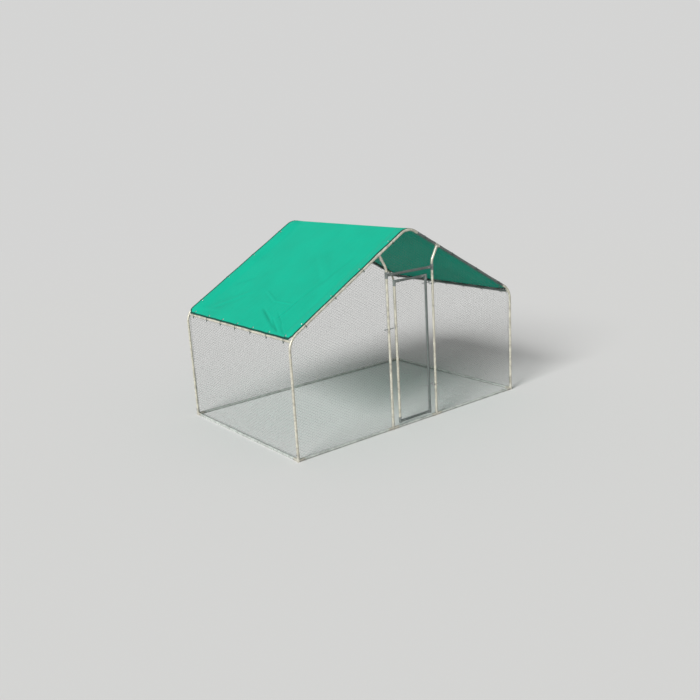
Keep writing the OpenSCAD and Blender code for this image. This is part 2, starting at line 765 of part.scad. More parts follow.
// The slide bolt enters the latch stile through a square slot in its left wall
module latch_stile()
    color(tube_colour) difference() {
        stile_tube(left);
        translate([-stile_half - tube_d, -half_y - slot_w / 2, latch_h - slot_w / 2])
            cube([tube_d, slot_w, slot_w]);
    }

module leaf_rail(z)
    color(tube_colour)
    drilled_both_ends([[leaf_rail_screw[0].x, -half_y, z], leaf_rail_screw[1], arm_r])
    tube_x(-stile_half + arm_stop, stile_half - arm_stop, -half_y, z);

module leaf_corners()
    color(fitting_colour) for (side_x = [left, right], side_z = [lower, upper]) leaf_flip(side_x, side_z)
    drilled([leaf_stile_screw, leaf_rail_screw])
    translate([-stile_half, -half_y, leaf_foot]) footed_fitting(leaf_hub_len, [0]);

module leaf_screws()
    color(bolt_colour) for (side_x = [left, right], side_z = [lower, upper]) leaf_flip(side_x, side_z)
    for (s = [leaf_stile_screw, leaf_rail_screw]) screw(s);

// Latch: a turned bolt that slides along X in the left door post, drawn back as it stands at rest

knob_x = door_half + tube_r + soft_gap + bolt_travel;
bolt_tip_x = stile_half + tube_r + bolt_tip_gap;

module latch_bolt()
    color(bolt_colour) translate([-knob_x - knob_len, -half_y, latch_h]) rotate([0, 90, 0])
    rotate_extrude() polygon([
        [0, 0],
        [knob_d / 2 - knob_round, 0],
        [knob_d / 2, knob_round],
        [knob_d / 2, knob_len - knob_round],
        [knob_d / 2 - knob_round, knob_len],
        [bolt_d / 2, knob_len],
        [bolt_d / 2, knob_x + knob_len - bolt_tip_x - tip_chamfer],
        [bolt_d / 2 - tip_chamfer, knob_x + knob_len - bolt_tip_x],
        [0, knob_x + knob_len - bolt_tip_x]
    ]);

module latch_collar()
    color(bolt_colour) translate([-door_half + tube_r + soft_gap, -half_y, latch_h]) rotate([0, 90, 0])
    difference() {
        cylinder(d = collar_d, h = collar_w);
        translate([0, 0, -overrun]) cylinder(d = bolt_d + 2 * hole_fit, h = collar_w + 2 * overrun);
    }

base_corner(left, front);  // base_corner_front_left
base_corner(right, front);  // base_corner_front_right
base_corner(left, back);  // base_corner_back_left
base_corner(right, back);  // base_corner_back_right
post(left, front);  // post_front_left
post(right, front);  // post_front_right
post(left, back);  // post_back_left
post(right, back);  // post_back_right
eave_elbow(left, front);  // eave_elbow_front_left
eave_elbow(right, front);  // eave_elbow_front_right
eave_elbow(left, back);  // eave_elbow_back_left
eave_elbow(right, back);  // eave_elbow_back_right
ridge_elbow(front);  // ridge_elbow_front
ridge_elbow(back);  // ridge_elbow_back
rafter(left, front);  // rafter_front_left
rafter(right, front);  // rafter_front_right
rafter(left, back);  // rafter_back_left
rafter(right, back);  // rafter_back_right
eave_rail(left);  // eave_rail_left
eave_rail(right);  // eave_rail_right
ridge_rail();
ground_rail_side(left);  // ground_rail_left
ground_rail_side(right);  // ground_rail_right
ground_rail_back();
ground_rail_front(left);  // ground_rail_front_left
ground_rail_front(right);  // ground_rail_front_right
threshold_rail();
door_base_tees();
door_post(left);  // door_post_left
door_post(right);  // door_post_right
lintel_tees();
lintel();
rafter_tees();
hinge_pintle(low_hinge_h);  // hinge_pintle_low
hinge_pintle(high_hinge_h);  // hinge_pintle_high
pintle_nuts();
frame_screws();
roof_cover();
cover_eyelets();
cover_ties();
net_side(left);  // net_left
net_side(right);  // net_right
net_back();
net_front(left);  // net_front_left
net_front(right);  // net_front_right
net_over_door();
hinge_stile();
latch_stile();
leaf_rail(leaf_top);  // leaf_top_rail
leaf_rail(leaf_bottom);  // leaf_bottom_rail
leaf_corners();
leaf_screws();
hinge_eye(low_hinge_h);  // hinge_eye_low
hinge_eye(high_hinge_h);  // hinge_eye_high
eye_nuts();
net_door();
latch_bolt();
latch_collar();
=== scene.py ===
# Walk-in chicken run: a gabled frame of galvanised tube, closed with wire netting, with a sheet tied over
# its roof and a door in one gable. X runs along the gables, Y along the eaves with the door gable at -Y,
# and Z up from the ground.
import math
import bmesh
import bpy
from mathutils import Euler, Matrix, Vector, noise


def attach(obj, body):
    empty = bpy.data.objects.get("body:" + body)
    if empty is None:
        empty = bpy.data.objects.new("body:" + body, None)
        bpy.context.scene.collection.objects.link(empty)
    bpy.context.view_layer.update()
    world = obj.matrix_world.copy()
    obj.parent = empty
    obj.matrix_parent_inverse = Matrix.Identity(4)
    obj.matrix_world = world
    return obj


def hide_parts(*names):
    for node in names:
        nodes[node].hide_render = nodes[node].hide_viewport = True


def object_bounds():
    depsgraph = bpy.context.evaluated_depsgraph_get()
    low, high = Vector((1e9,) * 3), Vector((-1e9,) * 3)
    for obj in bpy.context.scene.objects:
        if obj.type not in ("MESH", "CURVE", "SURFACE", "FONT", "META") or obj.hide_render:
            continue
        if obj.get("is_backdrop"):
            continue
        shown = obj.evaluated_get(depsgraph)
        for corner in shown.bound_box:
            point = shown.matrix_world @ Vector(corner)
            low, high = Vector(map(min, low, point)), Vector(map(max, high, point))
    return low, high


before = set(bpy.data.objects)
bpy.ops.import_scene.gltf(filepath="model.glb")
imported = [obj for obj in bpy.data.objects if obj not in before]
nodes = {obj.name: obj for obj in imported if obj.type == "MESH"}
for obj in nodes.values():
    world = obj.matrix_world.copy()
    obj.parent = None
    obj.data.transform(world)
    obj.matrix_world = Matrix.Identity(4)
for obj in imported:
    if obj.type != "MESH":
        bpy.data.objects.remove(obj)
cad_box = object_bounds()
scene = bpy.context.scene
scene.view_settings.view_transform = "Standard"


# Camera
# Stands off the left front corner, above head height, and looks down on the run. It leans a little to one
# side, as it did in the photograph.
CAMERA_PLACE = (-5.3142, -6.8817, 2.8715)
CAMERA_AZIMUTH = -37.4171
CAMERA_ELEVATION = 14.5722
CAMERA_ROLL = -3.4501
CAMERA_LENS = 41.347
CAMERA_SENSOR = 36.0


def in_scene(name, data):
    """An object that shows some data, linked into the scene."""
    made = bpy.data.objects.new(name, data)
    scene.collection.objects.link(made)
    return made


lens = bpy.data.cameras.new("camera")
lens.sensor_width = CAMERA_SENSOR
lens.lens = CAMERA_LENS
camera = in_scene("camera", lens)
aim = Euler((math.radians(90 - CAMERA_ELEVATION), 0, math.radians(CAMERA_AZIMUTH))).to_matrix().to_4x4()
tilt = Matrix.Rotation(math.radians(CAMERA_ROLL), 4, "Z")
camera.matrix_world = Matrix.Translation(CAMERA_PLACE) @ aim @ tilt
scene.camera = camera


# Frame tubes
# Welded steel tube of 25 mm, hot-dip galvanised: pale grey with a faint spangle and patches where the zinc
# has weathered, and a cream tint that is painted warm sunlight. Cut to length and slid over the spigots of
# the elbows. The ground rails are cooler, a painted reflection of the sky. The lintel and most of the door
# leaf are much duller, and the tubes of the right roof slope share that dark tone as painted shade.
TUBE_NODES = [
    "post_front_left", "post_front_right", "post_back_left", "post_back_right",
    "eave_elbow_front_left", "eave_elbow_front_right", "eave_elbow_back_left", "eave_elbow_back_right",
    "ridge_elbow_front", "ridge_elbow_back",
    "rafter_front_left", "rafter_back_left", "eave_rail_left", "ridge_rail",
    "door_post_left", "door_post_right", "latch_stile",
]
GROUND_TUBE_NODES = [
    "ground_rail_left", "ground_rail_right", "ground_rail_back",
    "ground_rail_front_left", "ground_rail_front_right", "threshold_rail",
]
# The lintel and leaf tubes are a duller zinc; the three tubes of the right roof slope share it as painted
# shade.
DULL_AND_SHADE_PAINTED_TUBE_NODES = [
    "lintel", "hinge_stile", "leaf_top_rail", "leaf_bottom_rail",
    "rafter_front_right", "rafter_back_right", "eave_rail_right",
]
TUBE_SPANGLE = 0.007
PATCH_SCALE = 20.0
PATCH_EDGES = (0.32, 0.58)
SKIN_SCALE = 900.0
SKIN_STRENGTH = 0.12
SKIN_DEPTH = 0.0004
# A Mix node's colour sockets share their names with its number sockets, so they are taken by index.
MIX_FIRST = 6
MIX_SECOND = 7
MIX_RESULT = 2


def add_node(tree, kind, settings=None, **sockets):
    """Adds a shader node with its settings; an output given for a socket is linked to it."""
    made = tree.nodes.new(kind)
    for key, value in (settings or {}).items():
        setattr(made, key, value)
    for key, value in sockets.items():
        socket = made.inputs[key.replace("_", " ")]
        if isinstance(value, bpy.types.NodeSocket):
            tree.links.new(value, socket)
        else:
            socket.default_value = value
    return made


def grey(tone):
    return (tone, tone, tone)


def ramp(tree, factor, low, high, start=0.0, end=1.0):
    """Runs from colour low to colour high as the factor goes from start to end."""
    made = add_node(tree, "ShaderNodeValToRGB", Fac=factor)
    for stop, place, colour in zip(made.color_ramp.elements, (start, end), (low, high)):
        stop.position = place
        stop.color = (*colour, 1.0)
    return made.outputs["Color"]


def spread(tree, factor, low, high):
    """Maps a factor from 0 to 1 onto the numbers low to high."""
    return add_node(tree, "ShaderNodeMapRange", Value=factor, To_Min=low, To_Max=high).outputs["Result"]


def multiplied(tree, first, second):
    made = add_node(tree, "ShaderNodeMix", {"data_type": "RGBA", "blend_type": "MULTIPLY"})
    made.inputs["Factor"].default_value = 1.0
    tree.links.new(first, made.inputs[MIX_FIRST])
    tree.links.new(second, made.inputs[MIX_SECOND])
    return made.outputs[MIX_RESULT]


def bump(tree, shader, height, strength, depth):
    made = add_node(tree, "ShaderNodeBump", Strength=strength, Distance=depth, Height=height)
    tree.links.new(made.outputs["Normal"], shader.inputs["Normal"])


def new_material(name):
    made = bpy.data.materials.new(name)
    made.use_nodes = True
    return made, made.node_tree, made.node_tree.nodes["Principled BSDF"]


def zinc(name, dark, pale, spangle, weathering, metallic, roughness):
    """A zinc coat: crystals of a size, each a little lighter or darker, under patches of weathering."""
    made, tree, shader = new_material(name)
    place = add_node(tree, "ShaderNodeTexCoord").outputs["Object"]
    crystal = add_node(tree, "ShaderNodeTexVoronoi", Vector=place, Scale=1 / spangle).outputs["Color"]
    parts = add_node(tree, "ShaderNodeSeparateColor", Color=crystal)
    patch = add_node(tree, "ShaderNodeTexNoise", Vector=place, Scale=PATCH_SCALE, Detail=6.0, Roughness=0.62)
    skin = add_node(tree, "ShaderNodeTexNoise", Vector=place, Scale=SKIN_SCALE, Detail=2.0)
    tone = ramp(tree, parts.outputs["Red"], dark, pale)
    worn = ramp(tree, patch.outputs["Fac"], grey(weathering), grey(1.0), *PATCH_EDGES)
    tree.links.new(multiplied(tree, tone, worn), shader.inputs["Base Color"])
    tree.links.new(spread(tree, parts.outputs["Green"], *roughness), shader.inputs["Roughness"])
    bump(tree, shader, skin.outputs["Fac"], SKIN_STRENGTH, SKIN_DEPTH)
    shader.inputs["Metallic"].default_value = metallic
    return made


def dress(names, material):
    for name in names:
        nodes[name].data.materials.clear()
        nodes[name].data.materials.append(material)


# The cream tint of this zinc is painted warm sunlight; the bare zinc is a pale grey.
tube_zinc_painted_warm_sun = zinc(
    "galvanised_tube", dark=(0.57, 0.548, 0.454), pale=(0.69, 0.663, 0.550), spangle=TUBE_SPANGLE,
    weathering=0.58, metallic=0.35, roughness=(0.34, 0.50))
# Dull dark zinc, also put on the right roof slope's tubes as painted shade.
dull_zinc_and_painted_shade = zinc(
    "dull_tube_and_painted_shade", dark=(0.112, 0.132, 0.126), pale=(0.165, 0.188, 0.179), spangle=TUBE_SPANGLE,
    weathering=0.74, metallic=0.35, roughness=(0.42, 0.60))
# Cooler than the other tubes, as a painted reflection of the sky.
ground_zinc_painted_sky = zinc(
    "ground_tube_painted_sky", dark=(0.52, 0.554, 0.52), pale=(0.625, 0.665, 0.625), spangle=TUBE_SPANGLE,
    weathering=0.62, metallic=0.35, roughness=(0.38, 0.55))
dress(TUBE_NODES, tube_zinc_painted_warm_sun)
dress(GROUND_TUBE_NODES, ground_zinc_painted_sky)
dress(DULL_AND_SHADE_PAINTED_TUBE_NODES, dull_zinc_and_painted_shade)


# Fittings
# Sleeves, corners and tees of pressed and welded steel that the tube ends slide into. Galvanised after
# welding, with a coarser spangle than the tube's. The tees of the lintel and the leaf's corners are duller.
FITTING_NODES = [
    "base_corner_front_left", "base_corner_front_right", "base_corner_back_left", "base_corner_back_right",
    "door_base_tees", "rafter_tees",
]
DULL_FITTING_NODES = ["lintel_tees", "leaf_corners"]
FITTING_SPANGLE = 0.010

fitting_zinc = zinc(
    "galvanised_fitting", dark=(0.51, 0.493, 0.425), pale=(0.61, 0.59, 0.508), spangle=FITTING_SPANGLE,
    weathering=0.70, metallic=0.4, roughness=(0.36, 0.56))
dull_fitting = zinc(
    "dull_fitting", dark=(0.155, 0.178, 0.170), pale=(0.225, 0.250, 0.240), spangle=FITTING_SPANGLE,
    weathering=0.72, metallic=0.35, roughness=(0.42, 0.60))
dress(FITTING_NODES, fitting_zinc)
dress(DULL_FITTING_NODES, dull_fitting)


# Fasteners, hinges and latch
# Hex-head screws with a washer face, the nuts of the hinges, the pintles and eyes bent from 8 mm rod, and
# the turned slide bolt with its collar. Zinc plate, cooler and smoother than the coat of the tubes, and
# darker, partly as painted shade.
FASTENER_NODES = [
    "frame_screws", "leaf_screws", "pintle_nuts", "eye_nuts", "hinge_pintle_low", "hinge_pintle_high",
    "hinge_eye_low", "hinge_eye_high", "latch_bolt", "latch_collar",
]

# Cool zinc plate, made darker partly as painted shade.
fastener_zinc_and_painted_shade = zinc(
    "zinc_plate_and_painted_shade", dark=(0.32, 0.33, 0.33), pale=(0.47, 0.48, 0.48), spangle=0.004,
    weathering=0.80, metallic=0.8, roughness=(0.26, 0.42))
dress(FASTENER_NODES, fastener_zinc_and_painted_shade)


# Wire netting
# Hexagonal netting of 1 mm galvanised wire, twisted in pairs on two sides of each opening, with a thicker
# selvedge wire round the edge; the wire is coloured dark grey as painted shade. Short lengths of wire are
# wound round the tubes to hold the selvedge.
POST_X = 1.485
POST_Y = 0.985
RAIL_H = 0.0148
EAVE_H = 1.165
PITCH_DEGREES = 30
PITCH = math.radians(PITCH_DEGREES)
TUBE_R = 0.0125
BEND_R = 0.18
EAVE_BEND = (-POST_X + BEND_R, EAVE_H - BEND_R * math.tan(PITCH))
RIDGE_BEND = (0.0, EAVE_H + POST_X * math.tan(PITCH) - BEND_R / math.cos(PITCH))
EAVE_RAIL = (1.4609, 1.1511)
DOOR_X = 0.305
LINTEL_H = 1.5876
DOOR_POST_LEAN = 30
DOOR_POST_BEND_R = 0.12
DOOR_POST_BEND = (-DOOR_X - DOOR_POST_BEND_R, 1.6236)
RAFTER_TEE_S = 1.2673
STILE_X = 0.21
LEAF_LOW = 0.0648
LEAF_HIGH = 1.5126
MESH_SIDE = 0.0162
MESH_PITCH = MESH_SIDE * math.sqrt(3)
MESH_REPEAT = 3 * MESH_SIDE
WIRE_R = 0.0005
WIRE_SIDES = 3
WIRE_ROUNDNESS = 0
TWIST_R = 0.0009
TWISTS = 2
TWIST_STEP = math.radians(60)
SELVEDGE_R = 0.0011
WIRE_BINDING_R = 0.0007
WIRE_BINDING_STEP = 0.27
WIRE_BINDING_END = 0.11
NET_BEHIND = 0.009
NET_INSET = 0.0142
RAFTER_INSET = 0.0175
BEND_STEPS = 3
BELT_STEPS = 9

# Coloured far darker than bare zinc wire, as painted shade.
net_wire_painted_shade = zinc(
    "netting_wire", dark=(0.17, 0.18, 0.17), pale=(0.27, 0.28, 0.265), spangle=0.02,
    weathering=0.75, metallic=0.5, roughness=(0.42, 0.60))


def as_mesh(name, mesh):
    """The mesh data of a bmesh, which is freed."""
    data = bpy.data.meshes.new(name)
    mesh.to_mesh(data)
    mesh.free()
    return data


def add_data(mesh, data):
    """Adds mesh data to a bmesh, and removes the data."""
    mesh.from_mesh(data)
    bpy.data.meshes.remove(data)
    return mesh


def finished(name, mesh, material, body):
    """Makes a piece of a bmesh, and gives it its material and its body."""
    piece = in_scene(name, as_mesh(name, mesh))
    piece.data.materials.append(material)
    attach(piece, body)
    return piece


def evaluated(piece):
    """The mesh of a piece with its modifiers or bevel, and the piece removed."""
    graph = bpy.context.evaluated_depsgraph_get()
    data = bpy.data.meshes.new_from_object(piece.evaluated_get(graph))
    bpy.data.objects.remove(piece)
    return data


def strut(mesh, start, end, radius, turns):
    """A length of wire in the plane of the net, wrung a little at each of its turns."""
    along = Vector(end) - Vector(start)
    ring = bmesh.ops.create_circle(mesh, segments=WIRE_SIDES, radius=radius)["verts"]
    made = list(ring)
    steps = max(1, turns)
    for _ in range(steps):
        edges = {e for v in ring for e in v.link_edges if e.other_vert(v) in ring}
        drawn = bmesh.ops.extrude_edge_only(mesh, edges=list(edges))["geom"]
        ring = [v for v in drawn if isinstance(v, bmesh.types.BMVert)]
        bmesh.ops.translate(mesh, verts=ring, vec=(0, 0, along.length / steps))
        if turns:
            bmesh.ops.rotate(mesh, verts=ring, matrix=Matrix.Rotation(TWIST_STEP, 3, "Z"))
        made += ring
    bmesh.ops.rotate(mesh, verts=made, matrix=Vector((0, 0, 1)).rotation_difference(along).to_matrix())
    bmesh.ops.translate(mesh, verts=made, vec=start)


def mesh_unit():
    """The wires that repeat: two twists along the net and the four single wires that leave them."""
    mesh = bmesh.new()
    half, side = MESH_PITCH / 2, MESH_SIDE
    strut(mesh, (-side / 2, 0, 0), (side / 2, 0, 0), TWIST_R, TWISTS)
    strut(mesh, (side, half, 0), (2 * side, half, 0), TWIST_R, TWISTS)
    strut(mesh, (side / 2, 0, 0), (side, half, 0), WIRE_R, 0)
    strut(mesh, (side / 2, 0, 0), (side, -half, 0), WIRE_R, 0)
    strut(mesh, (2 * side, half, 0), (2.5 * side, 0, 0), WIRE_R, 0)
    strut(mesh, (2 * side, half, 0), (2.5 * side, MESH_PITCH, 0), WIRE_R, 0)
    return as_mesh("mesh_unit", mesh)


netting_unit = mesh_unit()


def split(mesh, place, normal, clear=False):
    """Cuts every face that a plane goes through, and clears what is beyond the plane if asked."""
    bmesh.ops.bisect_plane(
        mesh, geom=mesh.verts[:] + mesh.edges[:] + mesh.faces[:], plane_co=place, plane_no=normal,
        clear_outer=clear)


def netting(outline):
    """Netting over the box of a convex outline, cut along each side of it."""
    low = Vector((min(p[0] for p in outline), min(p[1] for p in outline), 0))
    high = Vector((max(p[0] for p in outline), max(p[1] for p in outline), 0))
    columns = math.ceil((high.x - low.x) / MESH_REPEAT) + 2
    rows = math.ceil((high.y - low.y) / MESH_PITCH) + 2
    roll = in_scene("roll", netting_unit)
    for count, step in ((columns, (MESH_REPEAT, 0, 0)), (rows, (0, MESH_PITCH, 0))):
        repeat = roll.modifiers.new("repeat", "ARRAY")
        repeat.count = count
        repeat.use_relative_offset = False
        repeat.use_constant_offset = True
        repeat.constant_offset_displace = step
    mesh = add_data(bmesh.new(), evaluated(roll))
    column = math.floor(low.x / MESH_REPEAT) * MESH_REPEAT
    row = math.floor(low.y / MESH_PITCH) * MESH_PITCH
    bmesh.ops.translate(mesh, verts=mesh.verts, vec=(column, row, 0))
    for a, b in zip(outline, outline[1:] + outline[:1]):
        split(mesh, (a[0], a[1], 0), (b[1] - a[1], a[0] - b[0], 0), True)
    return mesh


def bend(centre, radius, start, end, steps=BEND_STEPS):
    """Points along an arc, with the angles in degrees."""
    turns = [math.radians(start + (end - start) * i / steps) for i in range(steps + 1)]
    return [(centre[0] + radius * math.cos(t), centre[1] + radius * math.sin(t)) for t in turns]


def belt(first_r, second, second_r, steps=BELT_STEPS):
    """A closed loop drawn tight round a circle at the origin and a smaller one at second."""
    reach = math.hypot(*second)
    lean = math.degrees(math.acos((first_r - second_r) / reach))
    base = math.degrees(math.atan2(second[1], second[0]))
    return (bend((0, 0), first_r, base + lean, base + 360 - lean, 2 * steps)
            + bend(second, second_r, base - lean, base + lean, steps))


def wires(name, runs, radius, roundness):
    """The mesh of round wire along runs, each a list of points and whether it closes on itself."""
    curve = bpy.data.curves.new(name, "CURVE")
    curve.dimensions = "3D"
    curve.bevel_depth = radius
    curve.bevel_resolution = roundness
    curve.use_fill_caps = True
    for points, closed in runs:
        spline = curve.splines.new("POLY")
        spline.points.add(len(points) - 1)
        for point, place in zip(spline.points, points):
            point.co = (*place, 1.0)
        spline.use_cyclic_u = closed
    data = evaluated(in_scene(name, curve))
    bpy.data.curves.remove(curve)
    return data


def bindings(sides, tube_off):
    """Loops of wire round a tube and the selvedge beside it, along each side of an outline."""
    loops = []
    for a, b, inset in sides:
        a, b = Vector((*a, 0)), Vector((*b, 0))
        along = (b - a).normalized()
        out = Vector((along.y, -along.x, 0))
        length = (b - a).length - 2 * WIRE_BINDING_END
        count = max(2, round(length / WIRE_BINDING_STEP) + 1)
        for i in range(count):
            selvedge = a + along * (WIRE_BINDING_END + length * i / (count - 1))
            off = tube_off(selvedge)
            tube = selvedge + out * inset + Vector((0, 0, off))
            ring = belt(TUBE_R + WIRE_BINDING_R, (-inset, -off), SELVEDGE_R + WIRE_BINDING_R)
            loops.append(([tube + out * n + Vector((0, 0, w)) for n, w in ring], True))
    return loops


def net(name, outlines, rim, tied, plane, tube_off, body):
    """A net of one or more convex fields, with its selvedge and its bindings, in the plane of a wall."""
    mesh = netting(outlines[0])
    for outline in outlines[1:]:
        add_data(mesh, as_mesh("field", netting(outline)))
    add_data(mesh, wires("selvedge", [([(*p, 0) for p in rim], True)], SELVEDGE_R, WIRE_ROUNDNESS))
    add_data(mesh, wires("bindings", bindings(tied, tube_off), WIRE_BINDING_R, WIRE_ROUNDNESS))
    mesh.transform(plane)
    piece = finished(name, mesh, net_wire_painted_shade, body)
    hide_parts(name.replace("wire_", ""))
    return piece


def wall(origin, along, up):
    """The matrix of a wall whose third axis points out of the run."""
    along, up = Vector(along), Vector(up)
    return Matrix.Translation(origin) @ Matrix((along, up, along.cross(up))).transposed().to_4x4()


def mirrored(points):
    return [(-x, y) for x, y in reversed(points)]


def around(points, inset):
    """The sides of a closed outline, each with the inset of the tube beside it."""
    return [(a, b, inset) for a, b in zip(points, points[1:] + points[:1])]


def up_rafter(s, n):
    """A point s up the left rafter and n above its axis, in a gable's plane."""
    return (-POST_X + s * math.cos(PITCH) - n * math.sin(PITCH),
            EAVE_H + s * math.sin(PITCH) + n * math.cos(PITCH))


def gable_tube(_):
    """How far the tubes of a gable stand out of the plane of its nets, the same all round."""
    return NET_BEHIND


front = wall((0, -POST_Y + NET_BEHIND, 0), (1, 0, 0), (0, 0, 1))
back = wall((0, POST_Y - NET_BEHIND, 0), (-1, 0, 0), (0, 0, 1))
eave_arc = bend(EAVE_BEND, BEND_R - RAFTER_INSET, 90 + PITCH_DEGREES, 180)
ridge_arc = bend(RIDGE_BEND, BEND_R - RAFTER_INSET, 90 - PITCH_DEGREES, 90 + PITCH_DEGREES)
post_x = POST_X - NET_INSET
rail_h = RAIL_H + NET_INSET

gable_rim = [(-post_x, rail_h), (post_x, rail_h)] + mirrored(eave_arc) + ridge_arc + eave_arc
gable_ties = [
    ((-post_x, rail_h), (post_x, rail_h), NET_INSET),
    ((post_x, rail_h), (post_x, EAVE_BEND[1]), NET_INSET),
    ((-post_x, EAVE_BEND[1]), (-post_x, rail_h), NET_INSET),
    (mirrored(eave_arc)[-1], ridge_arc[0], RAFTER_INSET),
    (ridge_arc[-1], eave_arc[0], RAFTER_INSET),
]
net("wire_net_back", [gable_rim], gable_rim, gable_ties, back, gable_tube, "frame")

door_x = DOOR_X + NET_INSET
door_post_arc = bend(DOOR_POST_BEND, DOOR_POST_BEND_R - NET_INSET, 0, DOOR_POST_LEAN)
beside_top = up_rafter(RAFTER_TEE_S - NET_INSET, -RAFTER_INSET)
beside_rim = [(-post_x, rail_h), (-door_x, rail_h)] + door_post_arc + [beside_top] + eave_arc
beside_ties = [
    ((-post_x, rail_h), (-door_x, rail_h), NET_INSET),
    ((-door_x, rail_h), (-door_x, DOOR_POST_BEND[1]), NET_INSET),
    (beside_top, eave_arc[0], RAFTER_INSET),
    ((-post_x, EAVE_BEND[1]), (-post_x, rail_h), NET_INSET),
]
net("wire_net_front_left", [beside_rim], beside_rim, beside_ties, front, gable_tube, "frame")
other_rim = mirrored(beside_rim)
other_ties = [((-b[0], b[1]), (-a[0], a[1]), inset) for a, b, inset in beside_ties]
net("wire_net_front_right", [other_rim], other_rim, other_ties, front, gable_tube, "frame")

above_x = DOOR_X - NET_INSET
above_arc = bend(DOOR_POST_BEND, DOOR_POST_BEND_R + NET_INSET, DOOR_POST_LEAN, 0)
above_left = [up_rafter(RAFTER_TEE_S + NET_INSET, -RAFTER_INSET)] + above_arc
above_sill = [(-above_x, LINTEL_H + NET_INSET), (above_x, LINTEL_H + NET_INSET)]
above_rim = above_sill + mirrored(above_left) + ridge_arc + above_left
above_low = above_sill + [(above_x, DOOR_POST_BEND[1]), (-above_x, DOOR_POST_BEND[1])]
above_chord = [above_left[0], above_arc[-1]]
above_high = mirrored(above_chord) + ridge_arc + above_chord
above_ties = [
    (*above_sill, NET_INSET),
    (mirrored(above_left)[-1], ridge_arc[0], RAFTER_INSET),
    (ridge_arc[-1], above_left[0], RAFTER_INSET),
]
net("wire_net_over_door", [above_low, above_high], above_rim, above_ties, front, gable_tube, "frame")

leaf_x = STILE_X - NET_INSET
leaf_rim = [(-leaf_x, LEAF_LOW + NET_INSET), (leaf_x, LEAF_LOW + NET_INSET),
            (leaf_x, LEAF_HIGH - NET_INSET), (-leaf_x, LEAF_HIGH - NET_INSET)]
net("wire_net_door", [leaf_rim], leaf_rim, around(leaf_rim, NET_INSET), front, gable_tube, "door")

side_h = math.hypot(POST_X - EAVE_RAIL[0], EAVE_RAIL[1] - RAIL_H)
lean_in = (POST_X - EAVE_RAIL[0]) / side_h
stand = (EAVE_RAIL[1] - RAIL_H) / side_h
side_y = POST_Y - RAFTER_INSET
side_rim = [(-side_y, RAFTER_INSET), (side_y, RAFTER_INSET),
            (side_y, side_h - RAFTER_INSET), (-side_y, side_h - RAFTER_INSET)]
side_ties = around(side_rim, RAFTER_INSET)


def side_tube(place):
    """How far the posts stand out of the plane of a side net, which leans in to the eave rail."""
    return lean_in * place.y if abs(place.x) > side_y - SELVEDGE_R else 0.0


left_wall = wall((-POST_X, 0, RAIL_H), (0, -1, 0), (lean_in, 0, stand))
right_wall = wall((POST_X, 0, RAIL_H), (0, 1, 0), (-lean_in, 0, stand))
net("wire_net_left", [side_rim], side_rim, side_ties, left_wall, side_tube, "frame")
net("wire_net_right", [side_rim], side_rim, side_ties, right_wall, side_tube, "frame")
bpy.data.meshes.remove(netting_unit)


# Roof cover
# One sheet of woven polyethylene, cut with blunt corners and laid over the rails and the rafters. Its sides
# ride up onto the rafters, and it is drawn tight at its ties, so it sags a little between them and creases.
SOLID_SHEET_T = 0.0012
SOLID_SHEET_GAP = 0.0003
COVER_MID = TUBE_R + SOLID_SHEET_GAP + SOLID_SHEET_T / 2
COVER_SLOPE = math.hypot(EAVE_RAIL[0], EAVE_RAIL[0] * math.tan(PITCH))
COVER_EDGE = 0.001
COVER_PAST_POST = 0.001
COVER_Y = POST_Y + COVER_PAST_POST
RIDGE_RAIL_Z = EAVE_RAIL[1] + EAVE_RAIL[0] * math.tan(PITCH)
FOLD_LENGTH = COVER_MID * PITCH
FOLD_LINES = (-1, -0.5, 0, 0.5, 1)
COVER_X = FOLD_LENGTH + COVER_SLOPE - COVER_EDGE
CORNER_CUT = 0.045
SHEET_T = 0.0006
SHEET_COLUMNS = 190
SHEET_ROWS = 110
SAG = 0.011
BELLY_SPREAD = 2.4
SCALLOP = 0.004
SCALLOP_REACH = 0.1
HEM_STILL = 0.13
RIDGE_STILL = 0.25
RIPPLE = 0.006
RIPPLE_SCALE = (1.7, 1.3)
WRINKLE = 0.0018
WRINKLE_SCALE = (5, 4)
WRINKLE_SEED = 7
EAVE_EYELET = 0.0385
GABLE_EYELET = 0.0415
EAVE_TIE_END = 0.8705
EAVE_TIES = [-EAVE_TIE_END + i * EAVE_TIE_END / 3 for i in range(7)]
GABLE_TIES = [share * COVER_SLOPE for share in (0.12, 0.36, 0.6, 0.86)]
RIDE_UP_FROM = 0.19
RIDE_UP_TO = 0.06
TEE_UP = 1.2534
TEE_RISE = 0.0026
TEE_REACH = 0.06
TEE_BREADTH = 1.6
# Each crease: where it starts and ends, given up from the eave and along Y, then its width and its depth.
CREASES = {
    -1: [
        ((0.32, -0.09), (0.06, -0.66), 0.019, 0.0095),
        ((0.23, -0.38), (0.04, -0.72), 0.015, 0.0080),
        ((0.18, -0.58), (0.03, -0.84), 0.014, 0.0045),
        ((0.13, -0.70), (0.31, -0.38), 0.013, 0.0040),
        ((0.18, -0.49), (0.56, -0.52), 0.014, 0.0045),
        ((0.55, 0.13), (0.41, -0.24), 0.016, -0.0035),
        ((0.43, -0.17), (0.44, -0.50), 0.014, -0.0035),
        ((0.13, 0.74), (0.52, 0.29), 0.030, -0.0060),
        ((0.10, 0.93), (0.16, 0.46), 0.026, -0.0040),
        ((0.42, -0.50), (1.30, -0.69), 0.030, 0.0026),
        ((1.22, -0.05), (0.80, -0.62), 0.040, -0.0040),
        ((0.52, 0.78), (0.72, 0.48), 0.040, 0.0030),
    ],
    1: [
        ((0.30, 0.36), (0.04, 0.77), 0.034, 0.0045),
        ((0.24, 0.54), (0.05, 0.84), 0.030, 0.0035),
        ((0.46, -0.30), (0.06, -0.74), 0.040, 0.0040),
    ],
}
CREASE_FADE = 4
CREASE_SHOULDER = 0.45
SHOULDER_WIDTH = 2.2
CREASE_EAVE_END = 0.04
